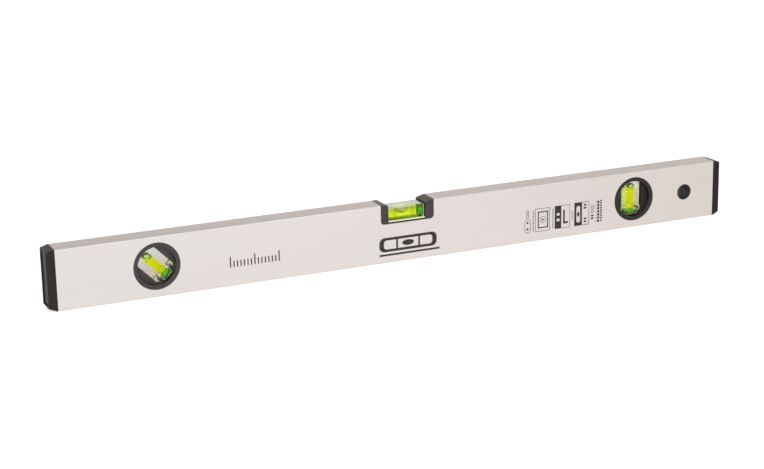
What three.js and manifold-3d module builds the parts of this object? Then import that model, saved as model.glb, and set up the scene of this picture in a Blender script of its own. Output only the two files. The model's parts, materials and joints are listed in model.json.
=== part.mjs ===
// A 600 mm box-section spirit level, in millimetres. +X runs along it, +Y goes to its back and +Z is up.
// The origin is under the middle of the level, on the plane of its lower measuring face.
import * as THREE from 'three';
import { mergeVertices } from 'three/addons/utils/BufferGeometryUtils.js';
import Module from 'manifold-3d';

// ---- driving dimensions ----
const LENGTH = 600; // over the end caps
const HEIGHT = 49;
const DEPTH = 19;
const WALL = 1.3; // of the aluminium box section
const EDGE_RADIUS = 0.7; // of the section's long edges
const GAP = 0.2; // between neighbouring pieces
const CLEARANCE = 0.3; // inside the hollow of the section, and round what moves

const CAP_LENGTH = 7; // the part of an end cap that shows
const CAP_SPIGOT = 12; // the part inside the section
const CAP_INSET_SIDE = 1; // how far the end face lies inside the section's outline
const CAP_INSET_TOP = 1.8;
const CAP_INSET_BOTTOM = 2.6;
const CAP_RIM = 0.9; // round the recess in the end face
const CAP_RECESS = 1;
const CAP_WALL = 1.6;

const WINDOW_RADIUS = 19.05; // the two round holes for the vial housings
const WINDOW_X = 213.4;
const WINDOW_Z = 24.9;
const RIM_RADIUS = 15.45; // inside a housing's rim
const WEB_OUTER = 4.75; // a housing's web lies between these distances from the middle plane
const WEB_INNER = 2.9;
const SLOT_HALF = 9.8; // half the width of the slot between the two webs

const HANGING_X = 263.8;
const HANGING_Z = 24.8;
const HANGING_RADIUS = 6.9;
const SLEEVE_WALL = 0.9;

const NOTCH_HALF = 23.75; // the notch in the top edge, for the horizontal vial
const NOTCH_Z = 32.7;
const NOTCH_RADIUS = 3.25;
const OPENING = [-16.9, 16.1]; // between the vial holder's two posts
const POST_ROUND = 2.5; // on the left post's inner corner
const POST_LOW_Z = 46.9; // the right post's top slopes down to this height at the opening
const LIP_Z = 34.3; // the top of the holder's front and rear lips
const POCKET_Z = 32.3; // the floor between the lips

const BLOCK_HALF_DEPTH = 7.1; // of the clear blocks
const BLOCK_HALF_WIDTH = 6.6;
const ROUND_BORE = 3.7; // radius inside the two round vials
const LEVEL_BORE = 4.1; // radius inside the horizontal vial
const RING_GAP = 0.03; // a ring mark lies close to the bore's wall
const RING_WIDTH = 0.45;
const RING_RADIAL = 0.18;

const ROUND_STEPS = 72; // sides of a large circle
const BORE_STEPS = 32;

const PROFILE_HALF = LENGTH / 2 - CAP_LENGTH;
const INNER_HALF_DEPTH = DEPTH / 2 - WALL;

const wasm = await Module();
wasm.setup();

// ---- materials ----
const plastic = (color, roughness = 0.55) => new THREE.MeshStandardMaterial({ color, roughness, metalness: 0 });
const ALUMINIUM = new THREE.MeshStandardMaterial({ color: 0xd9d4cf, roughness: 0.42, metalness: 0.85 });
const BLACK = plastic(0x2f2b2d);
const ACRYLIC = plastic(0xe6f2d8, 0.05);
const LIQUID = plastic(0xcfe000, 0.1);
const BUBBLE = plastic(0xf2f6d8, 0.05);
const PLUG = plastic(0x149a28, 0.4);
const RING = plastic(0x1c2410, 0.5);

// ---- helpers ----
/** A three.js geometry as a solid that can be joined and cut. */
function solid(geometry) {
  const bare = geometry.index ? geometry.toNonIndexed() : geometry.clone();
  bare.deleteAttribute('normal');
  bare.deleteAttribute('uv');
  const merged = mergeVertices(bare, 1e-4);
  const vertProperties = Float32Array.from(merged.attributes.position.array);
  const triVerts = Uint32Array.from(merged.index.array);
  return new wasm.Manifold(new wasm.Mesh({ numProp: 3, vertProperties, triVerts }));
}

/** A named mesh of a solid. */
function meshOf(name, body, material) {
  const { vertProperties, triVerts } = body.getMesh();
  const geometry = new THREE.BufferGeometry();
  geometry.setAttribute('position', new THREE.BufferAttribute(Float32Array.from(vertProperties), 3));
  geometry.setIndex(new THREE.BufferAttribute(Uint32Array.from(triVerts), 1));
  geometry.computeVertexNormals();
  const mesh = new THREE.Mesh(geometry, material);
  mesh.name = name;
  return mesh;
}

/** A box between two corners. */
function box([x0, y0, z0], [x1, y1, z1]) {
  const geometry = new THREE.BoxGeometry(x1 - x0, y1 - y0, z1 - z0);
  geometry.translate((x0 + x1) / 2, (y0 + y1) / 2, (z0 + z1) / 2);
  return solid(geometry);
}

/** A cylinder along X, its axis at (y, z). */
function rodX(radius, x0, x1, y = 0, z = 0, steps = BORE_STEPS) {
  const geometry = new THREE.CylinderGeometry(radius, radius, x1 - x0, steps);
  geometry.rotateZ(-Math.PI / 2);
  geometry.translate((x0 + x1) / 2, y, z);
  return solid(geometry);
}

/** A cylinder along Y, its axis at (x, z). */
function rodY(radius, y0, y1, x = 0, z = 0, steps = ROUND_STEPS) {
  const geometry = new THREE.CylinderGeometry(radius, radius, y1 - y0, steps);
  geometry.translate(x, (y0 + y1) / 2, z);
  return solid(geometry);
}

/** An outline in X and Z, given thickness from y0 to y1. */
function slabY(shape, y0, y1) {
  const geometry = new THREE.ExtrudeGeometry(shape, { depth: y1 - y0, bevelEnabled: false, curveSegments: 8 });
  geometry.rotateX(Math.PI / 2);
  geometry.translate(0, y1, 0);
  return solid(geometry);
}

/** An outline in Y and Z, given length from x0 to x1. */
function barX(shape, x0, x1) {
  const geometry = new THREE.ExtrudeGeometry(shape, { depth: x1 - x0, bevelEnabled: false, curveSegments: 4 });
  const [toY, toZ, toX] = [[0, 1, 0], [0, 0, 1], [1, 0, 0]].map((v) => new THREE.Vector3(...v));
  geometry.applyMatrix4(new THREE.Matrix4().makeBasis(toY, toZ, toX));
  geometry.translate(x0, 0, 0);
  return solid(geometry);
}

/** A rectangle with round corners. */
function roundedRectangle(a0, a1, b0, b1, r) {
  const shape = new THREE.Shape();
  shape.absarc(a1 - r, b0 + r, r, -Math.PI / 2, 0);
  shape.absarc(a1 - r, b1 - r, r, 0, Math.PI / 2);
  shape.absarc(a0 + r, b1 - r, r, Math.PI / 2, Math.PI);
  shape.absarc(a0 + r, b0 + r, r, Math.PI, Math.PI * 1.5);
  return shape;
}

// ---- aluminium section ----
/** The notch's outline, grown inwards by a margin: a U that is open at the top. */
function notchShape(margin, top) {
  const half = NOTCH_HALF - margin;
  const floor = NOTCH_Z + margin;
  const r = NOTCH_RADIUS - margin;
  const shape = new THREE.Shape();
  shape.moveTo(-half, top);
  shape.lineTo(-half, floor + r);
  shape.absarc(-half + r, floor + r, r, Math.PI, Math.PI * 1.5);
  shape.absarc(half - r, floor + r, r, -Math.PI / 2, 0);
  shape.lineTo(half, top);
  return shape;
}

function makeProfile() {
  const outside = roundedRectangle(-DEPTH / 2, DEPTH / 2, 0, HEIGHT, EDGE_RADIUS);
  const past = DEPTH / 2 + 1;
  let body = barX(outside, -PROFILE_HALF, PROFILE_HALF);
  const hollow = [
    [-PROFILE_HALF - 1, -INNER_HALF_DEPTH, WALL],
    [PROFILE_HALF + 1, INNER_HALF_DEPTH, HEIGHT - WALL],
  ];
  body = body.subtract(box(...hollow));
  for (const x of [-WINDOW_X, WINDOW_X]) body = body.subtract(rodY(WINDOW_RADIUS, -past, past, x, WINDOW_Z));
  body = body.subtract(rodY(HANGING_RADIUS, -past, past, HANGING_X, HANGING_Z, 48));
  body = body.subtract(slabY(notchShape(0, HEIGHT + 1), -past, past));
  return meshOf('profile', body, ALUMINIUM);
}

// ---- end caps ----
/** The tapering outer part of a cap, from the section's end to the cap's own end face. */
function capHead(x0, x1) {
  const corners = (x, side, top, bottom) => [
    [x, -DEPTH / 2 + side, bottom],
    [x, DEPTH / 2 - side, bottom],
    [x, DEPTH / 2 - side, HEIGHT - top],
    [x, -DEPTH / 2 + side, HEIGHT - top],
  ];
  const points = [...corners(x0, 0, 0, 0), ...corners(x1, CAP_INSET_SIDE, CAP_INSET_TOP, CAP_INSET_BOTTOM)];
  const quads = [[3, 2, 1, 0], [4, 5, 6, 7], [0, 1, 5, 4], [1, 2, 6, 5], [2, 3, 7, 6], [3, 0, 4, 7]];
  const geometry = new THREE.BufferGeometry();
  geometry.setAttribute('position', new THREE.Float32BufferAttribute(points.flat(), 3));
  geometry.setIndex(quads.flatMap(([a, b, c, d]) => [a, b, c, a, c, d]));
  return solid(geometry);
}

/** An end cap for the +X end: a tapering head with a shallow recess, and a hollow ribbed spigot. */
function makeEndCap(name) {
  const face = PROFILE_HALF + GAP;
  const end = LENGTH / 2;
  const spigotHalf = INNER_HALF_DEPTH - CLEARANCE;
  const low = WALL + CLEARANCE;
  const high = HEIGHT - WALL - CLEARANCE;
  const inner = PROFILE_HALF - CAP_SPIGOT;
  let body = capHead(face, end).add(box([inner, -spigotHalf, low], [face + 1, spigotHalf, high]));
  const ribReach = INNER_HALF_DEPTH - GAP / 2;
  const ribHalf = 0.5;
  for (const z of [HEIGHT * 0.25, HEIGHT * 0.5, HEIGHT * 0.75]) {
    body = body.add(box([inner + 2, -ribReach, z - ribHalf], [PROFILE_HALF - 1, ribReach, z + ribHalf]));
  }
  body = body.subtract(
    box([inner - 1, -spigotHalf + CAP_WALL, low + CAP_WALL], [face, spigotHalf - CAP_WALL, high - CAP_WALL]),
  );
  const recessHalf = DEPTH / 2 - CAP_INSET_SIDE - CAP_RIM;
  body = body.subtract(
    box(
      [end - CAP_RECESS, -recessHalf, CAP_INSET_BOTTOM + CAP_RIM],
      [end + 1, recessHalf, HEIGHT - CAP_INSET_TOP - CAP_RIM],
    ),
  );
  return meshOf(name, body, BLACK);
}

// ---- hanging hole ----
function makeHangingSleeve() {
  const outer = HANGING_RADIUS - GAP;
  const past = DEPTH / 2 + 1;
  const body = rodY(outer, -DEPTH / 2, DEPTH / 2, HANGING_X, HANGING_Z, 48).subtract(
    rodY(outer - SLEEVE_WALL, -past, past, HANGING_X, HANGING_Z, 48),
  );
  return meshOf('hanging_sleeve', body, BLACK);
}

// ---- what every vial holds ----
/**
 * The pieces inside a vial's bore, which runs along X and is open at its +X end: the liquid with the bubble's
 * path left free, the bubble, two ring marks and the plug. offset is how far the bubble lies off the axis.
 */
function boreContents(prefix, ringNames, { radius, start, end, plugLength, rings, bubble }) {
  const plugStart = end - plugLength;
  const liquidEnds = [start + GAP, plugStart - GAP];
  const [offsetY, offsetZ] = bubble.offset;
  const path = rodX(bubble.radius + CLEARANCE, liquidEnds[0] - 1, liquidEnds[1] + 1, offsetY, offsetZ, 24);
  const liquid = rodX(radius - RING_GAP - RING_RADIAL - RING_GAP, ...liquidEnds).subtract(path);
  const globe = new THREE.SphereGeometry(1, 20, 14);
  globe.rotateZ(Math.PI / 2);
  globe.scale(bubble.halfLength, bubble.radius, bubble.radius);
  globe.translate(bubble.centre, offsetY, offsetZ);
  const ringMeshes = rings.map((x, i) => {
    const outer = rodX(radius - RING_GAP, x - RING_WIDTH / 2, x + RING_WIDTH / 2);
    const inner = rodX(radius - RING_GAP - RING_RADIAL, x - 1, x + 1);
    return meshOf(`${prefix}_ring_${ringNames[i]}`, outer.subtract(inner), RING);
  });
  return [
    meshOf(`${prefix}_vial_liquid`, liquid, LIQUID),
    meshOf(`${prefix}_bubble`, solid(globe), BUBBLE),
    ...ringMeshes,
    meshOf(`${prefix}_vial_plug`, rodX(radius - GAP, plugStart, end), PLUG),
  ];
}

// ---- horizontal vial ----
const LEVEL = {
  x0: OPENING[0] + GAP,
  x1: OPENING[1] - GAP,
  z0: POCKET_Z + GAP,
  z1: 45.7,
  axisZ: 39.35,
  tongue: 1.2, // reach of the block's end tongues into the posts
  tongueHalf: 2.5,
  solidEnd: 4.3, // the length of the block before its bore starts
  plugInset: 1.2, // from the block's other end to the plug
  plugLength: 3.2,
  ringSpread: 7.85, // from the middle of the block to each ring mark
};

/** The black U-shaped holder: flush with the section outside, and wider inside the hollow, where it locks. */
function makeLevelHolder() {
  const [left, right] = OPENING;
  const shape = notchShape(GAP, HEIGHT);
  shape.lineTo(right, POST_LOW_Z);
  shape.lineTo(right, LIP_Z);
  shape.lineTo(left, LIP_Z);
  shape.absarc(left - POST_ROUND, HEIGHT - POST_ROUND, POST_ROUND, 0, Math.PI / 2);
  let body = slabY(shape, -DEPTH / 2, DEPTH / 2);
  const insideHalf = INNER_HALF_DEPTH - CLEARANCE;
  const insideTop = HEIGHT - WALL - CLEARANCE;
  const lip = NOTCH_HALF + 3; // the locks at the posts reach past the notch inside the hollow
  const lockHeight = 6;
  const rooted = 4; // how far from the opening the locks start in the posts
  const skirtZ = NOTCH_Z - 2.2; // a skirt under the floor reaches down into the hollow
  const skirtHalf = NOTCH_HALF - 4;
  const locks = [
    box([-lip, -insideHalf, insideTop - lockHeight], [left - rooted, insideHalf, insideTop]),
    box([right + rooted, -insideHalf, insideTop - lockHeight], [lip, insideHalf, insideTop]),
    box([-skirtHalf, -insideHalf, skirtZ], [skirtHalf, insideHalf, LIP_Z - GAP]),
  ];
  for (const lock of locks) body = body.add(lock);
  // the block stands in a pocket, and a groove in the inner face of each post holds its end tongue down
  const pocketHalf = BLOCK_HALF_DEPTH + GAP;
  const grooveHalf = LEVEL.tongueHalf + GAP;
  body = body.subtract(box([left, -pocketHalf, POCKET_Z], [right, pocketHalf, HEIGHT + 1]));
  body = body.subtract(
    box([left - LEVEL.tongue, -grooveHalf, POCKET_Z], [right + LEVEL.tongue, grooveHalf, LEVEL.z1 + GAP]),
  );
  return meshOf('level_holder', body, BLACK);
}

function makeLevelVial() {
  const { x0, x1, z0, z1, axisZ, tongue, tongueHalf, solidEnd, plugInset, plugLength, ringSpread } = LEVEL;
  const middle = (x0 + x1) / 2;
  const reach = tongue - GAP / 2;
  const boreStart = x0 + solidEnd;
  let block = box([x0, -BLOCK_HALF_DEPTH, z0], [x1, BLOCK_HALF_DEPTH, z1]);
  block = block.add(box([x0 - reach, -tongueHalf, z0], [x1 - 1, tongueHalf, z1]));
  block = block.add(box([middle, -tongueHalf, z0], [x1 + reach, tongueHalf, z1]));
  block = block.subtract(rodX(LEVEL_BORE, boreStart, x1 + tongue + 1, 0, axisZ));
  const inside = new THREE.Group();
  inside.position.z = axisZ;
  inside.add(
    ...boreContents('level', ['left', 'right'], {
      radius: LEVEL_BORE,
      start: boreStart,
      end: x1 - plugInset,
      plugLength,
      rings: [middle - ringSpread, middle + ringSpread],
      bubble: { centre: -3, halfLength: 5.7, radius: 2.35, offset: [0, 1.45] },
    }),
  );
  return [meshOf('level_vial_block', block, ACRYLIC), inside];
}

// ---- the two round vials ----
// Built with the vial along X, its plug towards +X, and then turned about Y.
const BLOCK = {
  radius: RIM_RADIUS - CLEARANCE,
  end: 14.4,
  plugEnd: 12.6,
  wingStart: 6, // the wings at the plug end are trapped between the two halves' webs
  wingHalfWidth: 11.5,
  wingHalfDepth: WEB_INNER - CLEARANCE,
  noseHalf: 5.2, // between the two notches in the plug end
  earInner: 7.9,
  notchStart: 9.6,
};
const SNAP_PIN = { radius: 0.8, length: 2.4, at: (WINDOW_RADIUS + RIM_RADIUS) / 2 - GAP };

/** Half of a round housing: a rim with a recessed web and the vial's slot. side is -1 in front and 1 behind. */
function makeHousingHalf(name, side) {
  const outer = WINDOW_RADIUS - GAP;
  const face = DEPTH / 2;
  const seam = GAP / 2;
  const chamfer = 0.4;
  const section = [
    [RIM_RADIUS, seam],
    [outer, seam],
    [outer, face - chamfer],
    [outer - chamfer, face],
    [RIM_RADIUS + chamfer, face],
    [RIM_RADIUS, face - chamfer],
    [RIM_RADIUS, seam],
  ].map(([r, y]) => new THREE.Vector2(r, y));
  const rim = solid(new THREE.LatheGeometry(section, ROUND_STEPS));
  const web = rodY(RIM_RADIUS + 0.5, WEB_INNER, WEB_OUTER).subtract(
    box([-DEPTH, 0, -SLOT_HALF], [DEPTH, DEPTH, SLOT_HALF]),
  );
  let body = rim.add(web);
  for (const sign of [-1, 1]) {
    const pinX = sign * SNAP_PIN.at;
    const isFront = side < 0;
    const radius = isFront ? SNAP_PIN.radius : SNAP_PIN.radius + GAP;
    const pin = isFront
      ? rodY(radius, -SNAP_PIN.length, seam + 1, pinX, 0, 16)
      : rodY(radius, seam - 1, SNAP_PIN.length + CLEARANCE, pinX, 0, 16);
    body = isFront ? body.add(pin) : body.subtract(pin);
  }
  // made for the rear, and turned about X for the front, where it meets the rear half with its pins
  if (side < 0) body = body.rotate([180, 0, 0]);
  return meshOf(name, body, BLACK);
}

/** The clear block: it stands in the slot, and its plug end has a wing with an ear on each side. */
function makeRoundBlock(name, bore) {
  const { radius, end, wingStart, wingHalfWidth, wingHalfDepth, noseHalf, earInner, notchStart } = BLOCK;
  const slab = box([-DEPTH, -BLOCK_HALF_DEPTH, -BLOCK_HALF_WIDTH], [end, BLOCK_HALF_DEPTH, BLOCK_HALF_WIDTH]);
  const wings = box([wingStart, -wingHalfDepth, -wingHalfWidth], [end, wingHalfDepth, wingHalfWidth]);
  let block = slab.add(wings).intersect(rodY(radius, -DEPTH, DEPTH));
  for (const sign of [-1, 1]) {
    const edges = [sign * noseHalf, sign * earInner].sort((a, b) => a - b);
    block = block.subtract(box([notchStart, -DEPTH, edges[0]], [DEPTH, DEPTH, edges[1]]));
  }
  block = block.subtract(rodX(bore.radius, bore.start, DEPTH));
  return meshOf(name, block, ACRYLIC);
}

/** A complete round vial, turned about its own centre so that its plug end points down by turn degrees. */
function makeRoundVial(prefix, x, turn, bubbleOffset) {
  const bore = {
    radius: ROUND_BORE,
    start: -12.5,
    end: BLOCK.plugEnd,
    plugLength: 2.3,
    rings: [-6.2, 7.3],
    bubble: { centre: -9.1, halfLength: 3, radius: 2.35, offset: bubbleOffset },
  };
  const group = new THREE.Group();
  group.position.set(x, 0, WINDOW_Z);
  group.rotation.y = THREE.MathUtils.degToRad(turn);
  group.add(
    makeHousingHalf(`${prefix}_housing_front`, -1),
    makeHousingHalf(`${prefix}_housing_rear`, 1),
    makeRoundBlock(`${prefix}_vial_block`, bore),
    ...boreContents(prefix, ['upper', 'lower'], bore),
  );
  return group;
}

// ---- the level ----
const level = new THREE.Group();
const leftCap = makeEndCap('end_cap_left');
leftCap.rotation.z = Math.PI;
level.add(
  makeProfile(),
  leftCap,
  makeEndCap('end_cap_right'),
  makeHangingSleeve(),
  makeLevelHolder(),
  ...makeLevelVial(),
  makeRoundVial('angle', -WINDOW_X, 45, [0, 1.1]),
  makeRoundVial('plumb', WINDOW_X, 90, [0, 0]),
);

export default level;
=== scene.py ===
"""The looks of a 600 mm spirit level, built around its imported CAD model. Lengths are in metres."""
import json
import math

import bmesh
import bpy
from mathutils import Matrix, Vector


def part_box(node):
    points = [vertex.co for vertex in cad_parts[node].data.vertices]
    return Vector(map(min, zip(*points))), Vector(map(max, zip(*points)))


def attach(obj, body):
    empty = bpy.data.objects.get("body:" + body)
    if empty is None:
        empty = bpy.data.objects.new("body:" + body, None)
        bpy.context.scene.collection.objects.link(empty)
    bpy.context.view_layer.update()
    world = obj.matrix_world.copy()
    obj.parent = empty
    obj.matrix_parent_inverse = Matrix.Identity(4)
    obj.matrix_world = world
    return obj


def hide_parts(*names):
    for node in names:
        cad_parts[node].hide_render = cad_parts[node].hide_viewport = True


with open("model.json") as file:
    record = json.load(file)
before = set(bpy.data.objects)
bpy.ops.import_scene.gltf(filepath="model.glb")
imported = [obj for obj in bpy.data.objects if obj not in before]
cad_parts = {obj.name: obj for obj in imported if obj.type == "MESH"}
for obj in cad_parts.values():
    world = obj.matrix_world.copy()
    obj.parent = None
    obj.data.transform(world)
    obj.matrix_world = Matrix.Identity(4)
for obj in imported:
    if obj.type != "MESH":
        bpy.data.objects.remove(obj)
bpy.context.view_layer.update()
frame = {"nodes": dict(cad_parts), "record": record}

MM = 0.001
NODES = frame["nodes"]
BODY = "level_body"


# ---- camera, floor and light ----
CAMERA_PLACE = Vector((-0.6324, -1.3998, 0.4656))
CAMERA_YAW = math.radians(23.669)
CAMERA_PITCH = math.radians(16.190)
CAMERA_ROLL = math.radians(-1.0805)
CAMERA_LENS = 91.84


def add_camera():
    forward = Vector((
        math.sin(CAMERA_YAW) * math.cos(CAMERA_PITCH),
        math.cos(CAMERA_YAW) * math.cos(CAMERA_PITCH),
        -math.sin(CAMERA_PITCH),
    ))
    level_right = Vector((math.cos(CAMERA_YAW), -math.sin(CAMERA_YAW), 0))
    level_up = level_right.cross(forward)
    right = math.cos(CAMERA_ROLL) * level_right + math.sin(CAMERA_ROLL) * level_up
    up = right.cross(forward)
    camera = bpy.data.objects.new("camera", bpy.data.cameras.new("camera"))
    bpy.context.collection.objects.link(camera)
    turn = Matrix((right, up, -forward)).transposed()
    camera.matrix_world = Matrix.Translation(CAMERA_PLACE) @ turn.to_4x4()
    camera.data.lens = CAMERA_LENS
    camera.data.sensor_width = 36
    camera.data.clip_start = 0.01
    camera.data.clip_end = 50
    bpy.context.scene.camera = camera


def add_light(name, kind, place, target, strength, colour=(1, 1, 1), **settings):
    light = bpy.data.lights.new(name, kind)
    light.energy = strength
    light.color = colour
    for key, value in settings.items():
        setattr(light, key, value)
    lamp = bpy.data.objects.new(name, light)
    bpy.context.collection.objects.link(lamp)
    lamp.location = place
    lamp.rotation_euler = (Vector(place) - Vector(target)).to_track_quat("Z", "Y").to_euler()


FLOOR_HALF = 15.0
FLOOR_DROP = 0.0002  # below the level's foot, so that the two faces don't lie in one plane
SUN_TURN = math.radians(24)  # to the left of straight ahead, so that the level hides its own shadow
SUN_HEIGHT = math.radians(19)


def add_floor():
    mesh = bpy.data.meshes.new("floor")
    half = FLOOR_HALF
    corners = [(-half, -half), (half, -half), (half, half), (-half, half)]
    mesh.from_pydata([(x, y, -FLOOR_DROP) for x, y in corners], [], [(0, 1, 2, 3)])
    floor = bpy.data.objects.new("floor", mesh)
    bpy.context.collection.objects.link(floor)
    paint = bpy.data.materials.new("floor_paint")
    paint.use_nodes = True
    shader = paint.node_tree.nodes["Principled BSDF"]
    shader.inputs["Base Color"].default_value = (0.93, 0.915, 0.91, 1)
    shader.inputs["Roughness"].default_value = 0.9
    mesh.materials.append(paint)


def add_world():
    world = bpy.data.worlds.new("studio")
    bpy.context.scene.world = world
    world.use_nodes = True
    background = world.node_tree.nodes["Background"]
    background.inputs["Color"].default_value = (1.0, 0.905, 0.86, 1)
    background.inputs["Strength"].default_value = 0.57


def add_card(name, size, place, target, strength, colour=(1, 1, 1)):
    """A rectangular soft light."""
    width, height = size
    shape = {"shape": "RECTANGLE", "size": width, "size_y": height}
    add_light(name, "AREA", place, target, strength, colour, **shape)


def add_lights():
    """A warm low sun, two cool fills on the level's left and middle, and a card that its top reflects."""
    sun_from = (-math.sin(SUN_TURN), -math.cos(SUN_TURN), math.tan(SUN_HEIGHT))
    add_light("key", "SUN", sun_from, (0, 0, 0), 5.95, (1.0, 0.964, 0.932), angle=math.radians(4))
    add_card("left_fill", (0.6, 0.5), (-0.6, -1.1, 0.5), (-0.1, 0, 0.02), 10, (0.3, 0.7, 1.0))
    add_card("centre_fill", (0.3, 0.3), (0.05, -0.55, 0.42), (0.03, 0, 0.03), 2.4, (0.75, 0.85, 1.0))
    add_card("back_card", (5.0, 1.0), (1.3, 3.0, 0.9), (0, 0, 0.05), 28)


def add_stage():
    add_floor()
    add_world()
    add_lights()
    scene = bpy.context.scene
    scene.view_settings.view_transform = "Standard"
    scene.view_settings.look = "None"


# ---- materials ----
# A Mix node's sockets for colours: its factor, A and B, and its result.
MIX_INPUTS = (0, 6, 7)
MIX_OUTPUT = 2


def scaled(colour, by):
    """A colour with its red, green and blue multiplied."""
    return [value * by for value in colour[:3]] + [1]


class Finish:
    """A node-based material under construction."""

    def __init__(self, name):
        self.material = bpy.data.materials.new(name)
        self.material.use_nodes = True
        self.tree = self.material.node_tree
        self.shader = self.tree.nodes["Principled BSDF"]

    def set(self, **values):
        for key, value in values.items():
            self.shader.inputs[key.replace("_", " ")].default_value = value
        return self

    def node(self, kind, inputs=None, **settings):
        made = self.tree.nodes.new(kind)
        for key, value in settings.items():
            setattr(made, key, value)
        for key, value in (inputs or {}).items():
            if isinstance(value, bpy.types.NodeSocket):
                self.tree.links.new(value, made.inputs[key])
            else:
                made.inputs[key].default_value = value
        return made

    def object_points(self, scale):
        """Object coordinates, scaled along X, Y and Z."""
        place = self.node("ShaderNodeTexCoord").outputs["Object"]
        return self.node("ShaderNodeMapping", {"Vector": place, "Scale": scale}).outputs["Vector"]

    def noise(self, scale, size=1.0, detail=3.0, roughness=0.55):
        points = self.object_points(scale)
        inputs = {"Vector": points, "Scale": size, "Detail": detail, "Roughness": roughness}
        return self.node("ShaderNodeTexNoise", inputs).outputs["Fac"]

    def between(self, value, low, high):
        """Spreads a value from 0 to 1 over low to high."""
        inputs = {"Value": value, "To Min": low, "To Max": high}
        return self.node("ShaderNodeMapRange", inputs).outputs["Result"]

    def share(self, value, low, high):
        """How far a value is from low to high, from 0 to 1."""
        inputs = {"Value": value, "From Min": low, "From Max": high}
        return self.node("ShaderNodeMapRange", inputs).outputs["Result"]

    def mix(self, factor, colour_a, colour_b):
        made = self.node("ShaderNodeMix", data_type="RGBA")
        sockets = [made.inputs[place] for place in MIX_INPUTS]
        for socket, value in zip(sockets, (factor, colour_a, colour_b)):
            if isinstance(value, bpy.types.NodeSocket):
                self.tree.links.new(value, socket)
            else:
                socket.default_value = value
        return made.outputs[MIX_OUTPUT]

    def link(self, value, socket):
        self.tree.links.new(value, self.shader.inputs[socket])
        return self

    def bump(self, height, strength, distance):
        made = self.node("ShaderNodeBump", {"Height": height, "Strength": strength, "Distance": distance})
        return self.link(made.outputs["Normal"], "Normal")


def aluminium():
    """Satin anodised extrusion: a fine grain along its length, and a faint mottle."""
    finish = Finish("satin_aluminium").set(Metallic=0.5, Roughness=0.45)
    grain = finish.noise((60, 2600, 2600), detail=2)
    mottle = finish.noise((8, 40, 40), detail=2)
    colour = finish.mix(mottle, (0.310, 0.276, 0.252, 1), (0.324, 0.290, 0.265, 1))
    finish.link(colour, "Base Color")
    finish.link(finish.between(grain, 0.42, 0.5), "Roughness")
    finish.bump(grain, 0.08, 0.00001)
    return finish.material


def black_plastic(name, gloss, tone):
    """Moulded black plastic with a fine spark-eroded texture."""
    finish = Finish(name).set(Roughness=0.45, Specular_IOR_Level=gloss)
    speckle = finish.noise((1, 1, 1), size=2500, detail=2)
    cloud = finish.noise((1, 1, 1), size=60, detail=2)
    colour = finish.mix(cloud, scaled((0.94, 0.62, 0.58), tone), scaled((1.34, 0.95, 0.88), tone))
    finish.link(colour, "Base Color")
    finish.link(finish.between(cloud, 0.38, 0.5), "Roughness")
    finish.bump(speckle, 0.2, 0.00002)
    return finish.material


def acrylic(name, tint, roughness=0.0):
    finish = Finish(name).set(Transmission_Weight=1.0, Roughness=roughness, IOR=1.49)
    finish.set(Specular_Tint=(0.5, 0.5, 0.12, 1))
    cloud = finish.noise((1, 1, 1), size=90, detail=1)
    finish.link(finish.mix(cloud, tint, scaled(tint, 1.02)), "Base Color")
    return finish.material


def frosted_acrylic():
    """The block's unpolished sides, which catch some of the light. Their yellow-green is painted glow, for
    the liquid's light that the frosted sides scatter.
    """
    finish = Finish("frosted_acrylic").set(Transmission_Weight=0.72, Roughness=0.25, IOR=1.49)
    cloud = finish.noise((1, 1, 1), size=500, detail=2)
    finish.link(finish.mix(cloud, (0.80, 0.88, 0.34, 1), (0.88, 0.95, 0.44, 1)), "Base Color")
    return finish.material


def liquid(name, density, through, glow):
    """
    Yellow-green spirit, paler where there is less of it, towards the sides of the vial. through is its
    volume's absorption colour, and glow is the strength of its emission: partly the liquid's fluorescence,
    partly painted glow for light that the block around it keeps off.
    """
    finish = Finish(name).set(Transmission_Weight=1.0, Roughness=0.0, IOR=1.02)
    cloud = finish.noise((1, 1, 1), size=120, detail=1)
    finish.link(finish.mix(cloud, (0.97, 0.98, 0.92, 1), (0.99, 1.0, 0.95, 1)), "Base Color")
    finish.set(Emission_Color=(0.6, 1.0, 0.0, 1), Emission_Strength=glow)
    volume = finish.node("ShaderNodeVolumeAbsorption", {"Color": through, "Density": density})
    output = finish.tree.nodes["Material Output"]
    finish.tree.links.new(volume.outputs["Volume"], output.inputs["Volume"])
    return finish.material


def glowing_foot(name, colour, glow):
    """The frosted foot of the level block, with a painted glow: its emission is a painted highlight where the
    block meets the holder's lips.
    """
    finish = Finish(name).set(Roughness=0.6, Emission_Color=glow, Emission_Strength=0.12)
    cloud = finish.noise((1, 1, 1), size=400, detail=2)
    finish.link(finish.mix(cloud, colour, scaled(colour, 1.2)), "Base Color")
    return finish.material


def ear_acrylic():
    """The small wings at the plug end. Their dark olive is painted shade, for the dark web that they are
    clamped in, seen through them.
    """
    finish = Finish("ear_acrylic").set(Roughness=0.2, Transmission_Weight=0.25)
    cloud = finish.noise((1, 1, 1), size=900, detail=2)
    finish.link(finish.mix(cloud, (0.10, 0.11, 0.05, 1), (0.40, 0.42, 0.26, 1)), "Base Color")
    return finish.material


# Dark olive sheets. In the round vials they are painted shade; the level's stopper has the same finish.
def dark_plate():
    finish = Finish("dark_olive_plate").set(Roughness=0.4)
    cloud = finish.noise((1, 1, 1), size=700, detail=3)
    finish.link(finish.mix(cloud, (0.03, 0.045, 0.01, 1), (0.10, 0.15, 0.04, 1)), "Base Color")
    return finish.material


LINE_SOFTNESS = 0.14  # of a bubble's outline, as a share of its radius
TONE_SPAN = (-0.6, 0.5)  # heights on a bubble, from its outline's lower colour to the upper, which is painted shade


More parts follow.
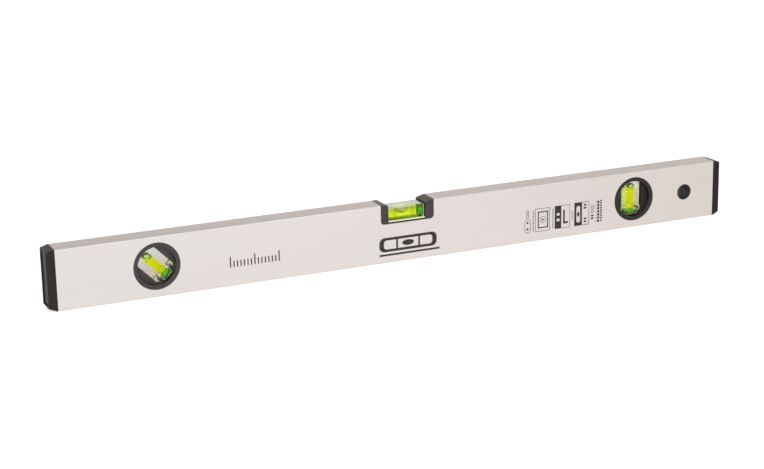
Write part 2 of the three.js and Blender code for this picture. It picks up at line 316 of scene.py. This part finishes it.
def bubble(name, line_from, pale_colour, lower_line, upper_line):
    """An air bubble, opaque: its pale middle is painted light, and the meniscus round its rim is a dark line
    of two colours, lower and upper, which is painted shade.
    """
    finish = Finish(name).set(Roughness=0.1)
    rim = finish.node("ShaderNodeAttribute", attribute_name="rim").outputs["Fac"]
    height = finish.node("ShaderNodeAttribute", attribute_name="height").outputs["Fac"]
    line = finish.share(rim, line_from, line_from + LINE_SOFTNESS)
    tone = finish.share(height, *TONE_SPAN)
    cloud = finish.noise((1, 1, 1), size=300, detail=1)
    pale = finish.mix(cloud, pale_colour, scaled(pale_colour, 0.9))
    finish.link(finish.mix(line, pale, finish.mix(tone, lower_line, upper_line)), "Base Color")
    return finish.material


def ring_mark():
    finish = Finish("ring_mark").set(Roughness=0.5)
    cloud = finish.noise((1, 1, 1), size=500, detail=1)
    finish.link(finish.mix(cloud, (0.42, 0.44, 0.0, 1), (0.50, 0.52, 0.0, 1)), "Base Color")
    return finish.material


def plug_green():
    finish = Finish("green_plug").set(Roughness=0.5, Specular_IOR_Level=0.15)
    # Its emission is painted glow, which keeps the plug evenly green inside the block, where little light
    # reaches it.
    finish.set(Emission_Color=(0.25, 1.0, 0.08, 1), Emission_Strength=0.09)
    cloud = finish.noise((1, 1, 1), size=300, detail=2)
    finish.link(finish.mix(cloud, (0.01, 0.26, 0.015, 1), (0.025, 0.36, 0.03, 1)), "Base Color")
    return finish.material


def dark_ink():
    finish = Finish("dark_ink").set(Roughness=0.5, Specular_IOR_Level=0.2)
    cloud = finish.noise((1, 1, 1), size=900, detail=2)
    finish.link(finish.mix(cloud, (0.006, 0.0045, 0.004, 1), (0.012, 0.009, 0.008, 1)), "Base Color")
    return finish.material


# ---- CAD nodes that stay ----
def bevel_edges(piece, width, steps=2, limit=25):
    """Rounds the edges. The large faces keep their own normals, so that they stay flat."""
    bevel = piece.modifiers.new("bevel", "BEVEL")
    bevel.width = width
    bevel.segments = steps
    bevel.limit_method = "ANGLE"
    bevel.angle_limit = math.radians(limit)
    even = piece.modifiers.new("even", "WEIGHTED_NORMAL")
    even.weight = 100
    even.keep_sharp = True


def soften(node, width, finish, steps=2):
    """Gives a CAD node small round edges and its finish. Its own mesh stays as it is."""
    piece = NODES[node]
    piece.data.materials.clear()
    piece.data.materials.append(finish)
    piece.data.polygons.foreach_set("use_smooth", [True] * len(piece.data.polygons))
    weld = piece.modifiers.new("weld", "WELD")
    weld.merge_threshold = 0.000005
    flat = piece.modifiers.new("flat", "DECIMATE")
    flat.decimate_type = "DISSOLVE"
    flat.angle_limit = math.radians(1)
    bevel_edges(piece, width, steps, 35)
    return piece


add_camera()
add_stage()
ALUMINIUM = aluminium()
BLACK = black_plastic("black_plastic", 0.3, 0.010)
# Darker copies of the black plastic are painted shade: the caps' copy, also duller, keeps down the sun's
# gleam on them, and the plumb housing's copy stands for the weaker light at the level's right end.
CAP_SHADED_BLACK = black_plastic("cap_shaded_black_plastic", 0.1, 0.006)
PLUMB_SHADED_BLACK = black_plastic("plumb_shaded_black_plastic", 0.17, 0.007)
# The clear acrylic's faint pinkish-grey tint is partly its own and partly painted shade, which darkens the
# floor seen through the blocks.
CLEAR = acrylic("clear_acrylic", (0.89, 0.86, 0.83, 1))
# The level block's yellow-green tint is painted glow from the liquid in it, and its top's darker tint is
# painted shade.
GLOW_TINTED_ACRYLIC = acrylic("glow_tinted_acrylic", (0.60, 0.665, 0.37, 1))
SHADED_TOP_GLOW_ACRYLIC = acrylic("top_shaded_glow_acrylic", (0.34, 0.37, 0.20, 1), 0.12)
FROSTED = frosted_acrylic()
EAR = ear_acrylic()
# Painted glow: the level's pale foot strips, its end strip and its olive base glow as painted light.
GLOWING_FOOT = glowing_foot("glowing_foot", (0.38, 0.41, 0.24, 1), (0.75, 0.85, 0.35, 1))
GLOWING_BASE = glowing_foot("glowing_base", (0.20, 0.24, 0.04, 1), (0.55, 0.70, 0.10, 1))
PLATE = dark_plate()
LIQUID = liquid("yellow_green_liquid", 850, (0.982, 0.999, 0.0, 1), 0.05)
LEVEL_LIQUID = liquid("level_yellow_green_liquid", 420, (0.962, 0.996, 0.0, 1), 0.015)
# The bubbles are painted light and shade: pale middles, and dark outlines whose colour runs from the lower
# one to the upper one.
AIR = bubble("air_bubble", 0.56, (0.40, 0.58, 0.28, 1), (0.03, 0.20, 0.006, 1), (0.002, 0.010, 0.001, 1))
LEVEL_LINE = (0.34, 0.46, 0.05, 1)
LEVEL_AIR = bubble("level_air_bubble", 0.84, (0.62, 0.52, 0.62, 1), LEVEL_LINE, LEVEL_LINE)
RING = ring_mark()
GREEN = plug_green()
INK = dark_ink()

soften("profile", 0.15 * MM, ALUMINIUM)
for name in ("end_cap_left", "end_cap_right"):
    soften(name, 0.35 * MM, CAP_SHADED_BLACK)
soften("hanging_sleeve", 0.2 * MM, BLACK)
soften("level_holder", 0.3 * MM, BLACK)
for prefix, finish in (("angle", BLACK), ("plumb", PLUMB_SHADED_BLACK)):
    for side in ("front", "rear"):
        soften(f"{prefix}_housing_{side}", 0.15 * MM, finish)


# ---- vials ----
ROUND_BORE = 3.7 * MM
LEVEL_BORE = 4.1 * MM
FILM = 0.24 * MM  # of liquid between a bubble and the bore's wall, where the ring marks are
LEAST_RISE = 0.3 * MM  # of a bubble's surface above the middle plane
HERE = Matrix.Identity(4)  # the place of a mesh that is built where it belongs


def new_piece(name, mesh, finish, body, *stands_for, slot=None):
    """A piece that rides on a body. It stands for CAD nodes. slot is not used."""
    piece = bpy.data.objects.new(name, mesh)
    bpy.context.collection.objects.link(piece)
    mesh.materials.append(finish)
    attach(piece, body)
    if stands_for:
        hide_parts(*stands_for)
    return piece


def mesh_from(name, work, place, smooth=True):
    """Turns a bmesh into a mesh, moved to its place in the frame."""
    bmesh.ops.recalc_face_normals(work, faces=work.faces)
    for face in work.faces:
        face.smooth = smooth
    work.transform(place)
    mesh = bpy.data.meshes.new(name)
    work.to_mesh(mesh)
    work.free()
    return mesh


def lathe(name, profile, place, steps=64):
    """A closed round mesh about X. profile holds (along, radius) pairs from end to end."""
    work = bmesh.new()
    rings = []
    for along, radius in profile:
        if radius == 0:
            rings.append([work.verts.new((along, 0, 0))])
            continue
        angles = [2 * math.pi * i / steps for i in range(steps)]
        rings.append([work.verts.new((along, radius * math.cos(a), radius * math.sin(a))) for a in angles])
    for a, b in zip(rings, rings[1:]):
        for i in range(steps):
            corners = [a[i % len(a)], a[(i + 1) % len(a)], b[(i + 1) % len(b)], b[i % len(b)]]
            work.faces.new(list(dict.fromkeys(corners)))
    return mesh_from(name, work, place)


def column_profile(start, end, bore, round_edge=0.5 * MM, steps=5):
    """A column that fills the bore, with its edges rounded."""
    points = [(start, 0)]
    for i in range(steps + 1):
        angle = math.pi / 2 * i / steps
        along = start + round_edge * (1 - math.cos(angle))
        radius = bore - round_edge * (1 - math.sin(angle))
        points.append((along, radius))
    mirrored = [(start + end - along, radius) for along, radius in reversed(points)]
    return points + mirrored


def prism(work, outline, y0, y1):
    """Adds a closed prism of an outline in X and Z to a bmesh."""
    low = [work.verts.new((x, y0, z)) for x, z in outline]
    high = [work.verts.new((x, y1, z)) for x, z in outline]
    work.faces.new(low)
    work.faces.new(high[::-1])
    for i in range(len(outline)):
        j = (i + 1) % len(outline)
        work.faces.new((low[i], low[j], high[j], high[i]))


def box_outline(x0, x1, z0, z1):
    return [(x0, z0), (x1, z0), (x1, z1), (x0, z1)]


def box_piece(name, boxes, bevel, finish, *stands_for, smooth=True, slot=None):
    """A piece of bevelled boxes on the level's body. Each box is its ranges along X, Y and Z."""
    work = bmesh.new()
    for x_range, y_range, z_range in boxes:
        prism(work, box_outline(*x_range, *z_range), *y_range)
    mesh = mesh_from(name, work, HERE, smooth)
    piece = new_piece(name, mesh, finish, BODY, *stands_for, slot=slot)
    bevel_edges(piece, bevel)
    return piece


def lens(name, place, front, back, rows=12, steps=56):
    """
    A closed mesh between two surfaces over the unit disc. Its rim attribute runs from 0 in the
    middle to 1, and its height attribute from -1 at the bottom of the disc to 1 at the top.
    """
    work = bmesh.new()
    rim = work.verts.layers.float.new("rim")
    height = work.verts.layers.float.new("height")
    outer_rings = []
    for surface in (front, back):
        before = [work.verts.new(surface(0, 0))]
        for row in range(1, rows + 1):
            radius = row / rows
            ring = []
            for i in range(steps):
                angle = 2 * math.pi * i / steps
                vert = work.verts.new(surface(radius * math.cos(angle), radius * math.sin(angle)))
                vert[rim] = radius
                vert[height] = radius * math.sin(angle)
                ring.append(vert)
            for i in range(steps):
                j = (i + 1) % steps
                corners = [before[i % len(before)], before[j % len(before)], ring[j], ring[i]]
                work.faces.new(list(dict.fromkeys(corners)))
            before = ring
        outer_rings.append(before)
    front_ring, back_ring = outer_rings
    for i in range(steps):
        j = (i + 1) % steps
        work.faces.new((front_ring[i], front_ring[j], back_ring[j], back_ring[i]))
    return mesh_from(name, work, place)


def on_bore(across, bore):
    """Height of a bubble's top against the bore's wall, at a distance from the middle plane."""
    reach = bore - FILM
    return math.sqrt(max(reach ** 2 - across ** 2, LEAST_RISE ** 2))


# ---- the level vial ----
TONGUE = 1.1 * MM  # left off at each end of the block, where the posts hide its tongues
LIP_Z = 34.3 * MM  # top of the holder's lips, in front of the block and behind it
FOOT_NEAR = 7.15 * MM  # from the middle plane to the inner edge of the strip on a lip
FOOT_FAR = 9.35 * MM
STRIP_WIDTH = 0.65 * MM
STRIP_DEPTH = 0.75 * MM
STOPPER_HALF_DEPTH = 4.5 * MM
STOPPER_RISE = 3.4 * MM  # from the vial's axis to the foot of the dark stopper
LEVEL_AIR_HALF_WIDTH = 3.4 * MM
LEVEL_AIR_DEPTH = 3.8 * MM
LEVEL_AIR_FULLNESS = 0.4  # exponent of the underside's curve, which is an ellipse at 0.5
LEVEL_AIR_EXTRA = 0.3 * MM  # length of the bubble past its CAD node, at each end


def level_block(low, high):
    """The clear block: one solid piece of acrylic round the liquid, with a duller top. Its yellow-green tint
    is painted glow from the liquid, and the top's darker tint is painted shade.
    """
    ranges = ((low.x + TONGUE, high.x - TONGUE), (low.y, high.y), (low.z, high.z))
    block = box_piece("level_block", [ranges], 0.3 * MM, GLOW_TINTED_ACRYLIC, "level_vial_block", smooth=False)
    block.data.materials.append(SHADED_TOP_GLOW_ACRYLIC)
    for face in block.data.polygons:
        if face.normal.z > 0.99:
            face.material_index = 1


def level_feet(low, high):
    """The pale frosted strips on the holder's lips, along the block's foot. Their glow is a painted highlight
    line.
    """
    x_range = (low.x + TONGUE, high.x - TONGUE)
    z_range = (LIP_Z + 0.03 * MM, LIP_Z + 0.5 * MM)
    for side, sign in (("front", -1), ("rear", 1)):
        y_range = sorted((sign * FOOT_NEAR, sign * FOOT_FAR))
        box_piece(f"level_foot_{side}", [(x_range, y_range, z_range)], 0.15 * MM, GLOWING_FOOT, "level_vial_block")


def level_trim(low, high, plug_start, axis_z):
    """What is seen through the block: its pale end and its frosted base, which glow as painted light, and the
    dark stopper over the plug.
    """
    end = high.x - TONGUE - 0.1 * MM
    front = low.y + 0.15 * MM
    strip = ((end - STRIP_WIDTH, end), (front, front + STRIP_DEPTH), (low.z + 0.5 * MM, high.z - 0.5 * MM))
    box_piece("level_end_strip", [strip], 0.1 * MM, GLOWING_FOOT, slot="clear_acrylic")

    x_range = (low.x + 2 * TONGUE, high.x - 2 * TONGUE)
    rear = high.y - 0.3 * MM
    tray = (x_range, (low.y + 0.3 * MM, rear), (low.z + 0.15 * MM, low.z + 0.4 * MM))
    upstand = (x_range, (rear - 0.3 * MM, rear), (low.z + 0.5 * MM, LIP_Z + 0.6 * MM))
    box_piece("level_frosted_base", [tray, upstand], 0.1 * MM, GLOWING_BASE, slot="clear_acrylic")

    stopper = (
        (plug_start + 0.4 * MM, high.x - TONGUE - 0.3 * MM),
        (-STOPPER_HALF_DEPTH, STOPPER_HALF_DEPTH),
        (axis_z + STOPPER_RISE, high.z - 0.4 * MM),
    )
    box_piece("level_stopper", [stopper], 0.1 * MM, PLATE, slot="vial_plug")


def level_bubble(place):
    """The bubble under the top of the bore, with a rounded underside."""
    low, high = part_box("level_bubble")
    middle = (low.x + high.x) / 2
    half_length = (high.x - low.x) / 2 + LEVEL_AIR_EXTRA

    def wall(u, v):
        across = LEVEL_AIR_HALF_WIDTH * v
        return (middle + half_length * u, across, on_bore(across, LEVEL_BORE))

    def meniscus(u, v):
        x, y, z = wall(u, v)
        fall = LEVEL_AIR_DEPTH * max(0, 1 - u * u - v * v) ** LEVEL_AIR_FULLNESS
        return (x, y, z - 0.02 * MM - fall)

    mesh = lens("level_air", place, wall, meniscus)
    new_piece("level_air", mesh, LEVEL_AIR, "level_bubble_air", "level_bubble")


def level_vial():
    low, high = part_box("level_vial_block")
    plug_low, plug_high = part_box("level_vial_plug")
    liquid_low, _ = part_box("level_vial_liquid")
    axis_z = (plug_low.z + plug_high.z) / 2
    level_block(low, high)
    level_feet(low, high)
    level_trim(low, high, plug_low.x, axis_z)

    place = Matrix.Translation((0, 0, axis_z))
    column = column_profile(liquid_low.x - 1.4 * MM, plug_low.x + 0.4 * MM, LEVEL_BORE)
    new_piece("level_liquid", lathe("level_liquid", column, place), LEVEL_LIQUID, BODY, "level_vial_liquid")
    plug = column_profile(plug_low.x, plug_high.x + 0.5 * MM, LEVEL_BORE + 0.03 * MM)
    new_piece("level_plug", lathe("level_plug", plug, place), GREEN, BODY, "level_vial_plug")
    level_bubble(place)


# ---- the two round vials, built along X with the plug towards +X ----
BLOCK_RADIUS = 15.15 * MM  # inside a round housing's rim
BLOCK_HALF_WIDTH = 6.6 * MM
BLOCK_END = 14.4 * MM
BLOCK_BEVEL = 0.08 * MM
NOTCH_START = 9.6 * MM  # where the block narrows to its nose
NOSE_HALF = 5.2 * MM
WING_START = 8.4 * MM  # the clamped wings at the plug end
WING_HALF_WIDTH = 11.5 * MM
WING_HALF_DEPTH = 2.6 * MM
EAR_INNER = 7.9 * MM
PLUG_START = 10.3 * MM
PLUG_END = 12.6 * MM
PLUG_OVERLAP = 1.3 * MM  # of the liquid's mesh and the plug
VIAL_START = -11.6 * MM  # of the liquid and of the side panes
BUBBLE_START = -12.5 * MM  # the closed end of the bore, where a bubble is cut off flat
BUBBLE_SIDE_ROOM = 0.05 * MM  # from the widest part of a bubble to the liquid's film
PANE_REACH = 9.6 * MM
PANE_HALF_DEPTH = 0.4 * MM
PLATE_HALF_DEPTH = 6.8 * MM


def rim_arc(across_a, across_b, side, steps=14):
    """Points on the block's round end from one distance across to another. side is -1 or 1 along the vial."""
    points = []
    for i in range(steps + 1):
        across = across_a + (across_b - across_a) * i / steps
        points.append((side * math.sqrt(BLOCK_RADIUS ** 2 - across ** 2), across))
    return points


def round_block(prefix, place, half_depth):
    """The clear block: round at the bubble's end, with frosted straight sides and a narrow nose."""
    half = BLOCK_HALF_WIDTH
    nose = [(min(along, BLOCK_END), across) for along, across in rim_arc(-NOSE_HALF, NOSE_HALF, 1)]
    outline = rim_arc(half, -half, -1) + [(NOTCH_START, -half), (NOTCH_START, -NOSE_HALF)]
    outline += nose + [(NOTCH_START, NOSE_HALF), (NOTCH_START, half)]
    work = bmesh.new()
    prism(work, outline, -half_depth, half_depth)
    mesh = mesh_from(f"{prefix}_block", work, place, smooth=False)
    block = new_piece(f"{prefix}_block", mesh, CLEAR, BODY, f"{prefix}_vial_block")
    mesh.materials.append(FROSTED)
    across = place.to_3x3() @ Vector((0, 0, 1))
    for face in mesh.polygons:
        reach = abs((face.center - place.translation).dot(across))
        if abs(face.normal.dot(across)) > 0.99 and abs(reach - half) < 0.01 * MM:
            face.material_index = 1
    bevel_edges(block, BLOCK_BEVEL)


def round_ears(prefix, place):
    """The wings at the block's plug end, which the housing's two halves clamp."""
    inner = BLOCK_HALF_WIDTH + 0.02 * MM
    ear = rim_arc(EAR_INNER, WING_HALF_WIDTH, 1, steps=5)
    outline = [(WING_START, inner), (NOTCH_START, inner), (NOTCH_START, EAR_INNER)]
    outline += ear + [(WING_START, WING_HALF_WIDTH)]
    work = bmesh.new()
    for sign in (-1, 1):
        prism(work, [(along, sign * across) for along, across in outline], -WING_HALF_DEPTH, WING_HALF_DEPTH)
    mesh = mesh_from(f"{prefix}_ears", work, place, smooth=False)
    bevel_edges(new_piece(f"{prefix}_ears", mesh, EAR, BODY, f"{prefix}_vial_block"), 0.2 * MM)


def side_panes(prefix, place):
    """The block's thin side flanges, which fill the housing's slot."""
    # They also keep the sun from passing the gaps beside the block, so that the floor seen through the window
    # stays in shade.
    work = bmesh.new()
    for sign in (-1, 1):
        edges = sorted((sign * (BLOCK_HALF_WIDTH + 0.05 * MM), sign * PANE_REACH))
        outline = box_outline(VIAL_START, WING_START - 0.1 * MM, *edges)
        prism(work, outline, -PANE_HALF_DEPTH, PANE_HALF_DEPTH)
    mesh = mesh_from(f"{prefix}_side_panes", work, place, smooth=False)
    new_piece(f"{prefix}_side_panes", mesh, CLEAR, BODY, f"{prefix}_vial_block")


def round_shade_plates(prefix, place):
    """The dark plate behind the plug, inside the nose of the block, and one at each heel of it: dark sheets
    of painted shade.
    """
    plate_half = NOSE_HALF - 0.2 * MM
    outlines = [box_outline(PLUG_END + 0.1 * MM, BLOCK_END - 0.5 * MM, -plate_half, plate_half)]
    for sign in (-1, 1):
        edges = sorted((sign * (NOSE_HALF + 0.1 * MM), sign * (BLOCK_HALF_WIDTH - 0.15 * MM)))
        outlines.append(box_outline(NOTCH_START - 1.0 * MM, NOTCH_START - 0.15 * MM, *edges))
    work = bmesh.new()
    for outline in outlines:
        prism(work, outline, -PLATE_HALF_DEPTH, PLATE_HALF_DEPTH)
    mesh = mesh_from(f"{prefix}_dark_plate", work, place)
    plate = new_piece(f"{prefix}_dark_plate", mesh, PLATE, BODY, slot="vial_plug")
    bevel_edges(plate, 0.1 * MM)


def round_bubble(prefix, place, turn, middle, half):
    """A bubble at the vial's upper end, with its two sides against the bore."""
    along_middle, across_middle = middle
    half_level, half_upright = half
    limit = ROUND_BORE - FILM - BUBBLE_SIDE_ROOM

    def on_wall(u, v, side):
        level = half_level * u
        upright = half_upright * v
        along = along_middle + level * math.cos(turn) - upright * math.sin(turn)
        across = across_middle + level * math.sin(turn) + upright * math.cos(turn)
        across = max(-limit, min(limit, across))
        return (max(BUBBLE_START, along), side * on_bore(across, ROUND_BORE), across)

    mesh = lens(f"{prefix}_air", place, lambda u, v: on_wall(u, v, -1), lambda u, v: on_wall(u, v, 1))
    new_piece(f"{prefix}_air", mesh, AIR, f"{prefix}_bubble_air", f"{prefix}_bubble")


def round_vial(prefix, turn, bubble_middle, bubble_half):
    """
    A vial in a round housing. The bubble's middle is (along, across), and its half sizes are
    (level, upright).
    """
    low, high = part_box(f"{prefix}_housing_rear")
    centre = Vector(((low.x + high.x) / 2, 0, (low.z + high.z) / 2))
    place = Matrix.Translation(centre) @ Matrix.Rotation(turn, 4, "Y")
    block_low, block_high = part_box(f"{prefix}_vial_block")
    round_block(prefix, place, (block_high.y - block_low.y) / 2)
    round_ears(prefix, place)
    side_panes(prefix, place)
    round_shade_plates(prefix, place)
    column = column_profile(VIAL_START, PLUG_START + PLUG_OVERLAP, ROUND_BORE)
    mesh = lathe(f"{prefix}_liquid", column, place)
    new_piece(f"{prefix}_liquid", mesh, LIQUID, BODY, f"{prefix}_vial_liquid")
    round_bubble(prefix, place, turn, bubble_middle, bubble_half)


level_vial()
round_vial("angle", math.radians(45), (-9.9 * MM, 0.9 * MM), (4.1 * MM, 2.25 * MM))
round_vial("plumb", math.radians(90), (-10.4 * MM, 0), (3.6 * MM, 2.1 * MM))

for prefix in ("angle", "plumb"):
    soften(f"{prefix}_vial_plug", 0.2 * MM, GREEN)
for node in frame["record"]["physics"]["no_collision_nodes"]:
    if "_ring_" in node:
        NODES[node].data.materials.clear()
        NODES[node].data.materials.append(RING)


# ---- printed marks, with sizes in millimetres on the front face ----
INK_STEPS = 24
INK_PROUD = 0.03 * MM  # of the front face, which looks towards -Y
INK_SUNK = 0.02 * MM


def rounded(x0, x1, z0, z1, radius):
    """A rectangle's outline with round corners."""
    centres = [
        (x1 - radius, z1 - radius),
        (x0 + radius, z1 - radius),
        (x0 + radius, z0 + radius),
        (x1 - radius, z0 + radius),
    ]
    steps = INK_STEPS // 4
    points = []
    for quarter, (x, z) in enumerate(centres):
        for i in range(steps + 1):
            angle = math.pi / 2 * (quarter + i / steps)
            points.append((x + radius * math.cos(angle), z + radius * math.sin(angle)))
    return points


def disc(x, z, radius, stretch=1.0):
    angles = [2 * math.pi * i / INK_STEPS for i in range(INK_STEPS)]
    return [(x + stretch * radius * math.cos(a), z + radius * math.sin(a)) for a in angles]


class Print:
    """Marks printed on the front face, as thin closed plates."""

    def __init__(self, name):
        self.name = name
        self.work = bmesh.new()
        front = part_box("profile")[0].y
        self.depth = (front - INK_PROUD, front + INK_SUNK)

    def plate(self, outline):
        prism(self.work, [(x * MM, z * MM) for x, z in outline], *self.depth)

    def bar(self, x0, x1, z0, z1):
        self.plate(box_outline(x0, x1, z0, z1))

    def band(self, outer, inner):
        """A plate with a hole. Both outlines have the same number of points."""
        loops = []
        for y in self.depth:
            for outline in (outer, inner):
                loops.append([self.work.verts.new((x * MM, y, z * MM)) for x, z in outline])
        front_outer, front_inner, back_outer, back_inner = loops
        around = [front_outer, front_inner, back_inner, back_outer]
        for a, b in zip(around, around[1:] + around[:1]):
            for i in range(len(a)):
                j = (i + 1) % len(a)
                self.work.faces.new((a[i], a[j], b[j], b[i]))

    def frame(self, x0, x1, z0, z1, width, radius=0.3):
        inside = (x0 + width, x1 - width, z0 + width, z1 - width)
        self.band(rounded(x0, x1, z0, z1, radius), rounded(*inside, max(radius - width, 0.05)))

    def ring(self, x, z, radius, width):
        self.band(disc(x, z, radius), disc(x, z, radius - width))

    def column(self, x, z0, z1, width, count, fill=0.62):
        """A column of small bars, one above the other."""
        pitch = (z1 - z0) / count
        for i in range(count):
            self.bar(x, x + width, z0 + pitch * i, z0 + pitch * (i + fill))

    def finish(self):
        mesh = mesh_from(self.name, self.work, HERE, smooth=False)
        new_piece(self.name, mesh, INK, BODY, slot="black_plastic")


def print_scale():
    """A short tick scale."""
    marks = Print("print_scale")
    start, length, foot = -153.5, 41, 15.3
    ticks = 15
    for i in range(ticks):
        x = start + length * i / (ticks - 1)
        top = 24 if i % 7 == 0 else 20.5
        marks.bar(x - 0.5, x + 0.5, foot, top)
    marks.finish()


def print_vial_sign():
    """A bold sign of a vial with its bubble, over a base line."""
    marks = Print("print_vial_sign")
    marks.band(rounded(-25.5, 26, 9.4, 21.4, 4.5), rounded(-21.5, 22, 11.6, 19.2, 2.6))
    marks.plate(disc(0.2, 15.4, 2.4, stretch=2.2))
    for x in (-10.5, 9.3):
        marks.bar(x, x + 1.6, 11.4, 19.4)
    marks.bar(-25.5, 28.5, 6, 7.6)
    marks.finish()


def sign_capsule(marks, x):
    """Two rings over a capsule with two dots, and a column of bars."""
    for z in (26, 22.6):
        marks.ring(x, z, 1.5, 0.5)
    marks.frame(x - 2.9, x + 2.9, 8.2, 20.2, 0.4, radius=2.8)
    for z in (11.4, 17):
        marks.plate(disc(x, z, 1))
    marks.column(x + 4.9, 8.8, 27.4, 0.9, 9)


def sign_target(marks, x):
    """A ring and a dot in two frames, and a column of bars."""
    marks.frame(x - 7.4, x + 6.6, 8, 28.1, 0.4)
    marks.frame(x - 4.9, x + 5, 10.8, 25.4, 1)
    marks.ring(x, 18.1, 2.8, 0.4)
    marks.plate(disc(x, 18.1, 0.9))
    marks.column(x + 9.2, 9.5, 27, 0.9, 9)


def sign_blocks(marks, x):
    """A frame with a broken dark block and a corner."""
    marks.frame(x, x + 14.6, 8.2, 28.2, 0.4)
    left, right = x + 0.2, x + 6.2
    for z0, z1 in ((8.4, 14.7), (16.9, 19.6), (21.8, 28)):
        marks.bar(left, right, z0, z1)
    for post_x in (left, x + 4.6):
        for z in (14.7, 19.6):
            marks.bar(post_x, post_x + 1.6, z, z + 2.2)
    marks.bar(x + 8, x + 9.6, 12, 24)
    marks.bar(x + 8, x + 12.6, 12, 13.6)
    marks.column(x + 16.5, 14.2, 22.3, 0.8, 4)


def sign_upright_vial(marks, x):
    """A frame with an upright vial and four dots, and two rings beside it."""
    marks.frame(x, x + 14.2, 8.2, 28.6, 0.4)
    marks.band(rounded(x + 0.1, x + 7.4, 8.3, 28.5, 0.2), rounded(x + 2, x + 5.6, 11, 25.6, 1.7))
    marks.plate(disc(x + 3.8, 18.3, 2.2, stretch=0.5))
    for z in (10.4, 13, 22.4, 25):
        marks.bar(x + 9.2, x + 11.6, z, z + 1.5)
    for z in (22.8, 19.2):
        marks.ring(x + 17.5, z, 1.5, 0.45)
    marks.column(x + 16.2, 12.3, 17, 2.4, 2)


def sign_columns(marks, x):
    """A thin line and two columns of bars."""
    marks.bar(x, x + 0.2, 9.3, 28.6)
    marks.column(x + 1.4, 9, 28.4, 2, 7, fill=0.75)
    marks.column(x + 4.2, 9.6, 29, 1.8, 9, fill=0.6)


def print_small_signs():
    """The row of small geometric signs near the plumb vial."""
    marks = Print("print_small_signs")
    sign_capsule(marks, 110.5)
    sign_target(marks, 125)
    sign_blocks(marks, 136.4)
    sign_upright_vial(marks, 155.2)
    sign_columns(marks, 176)
    marks.finish()


print_scale()
print_vial_sign()
print_small_signs()
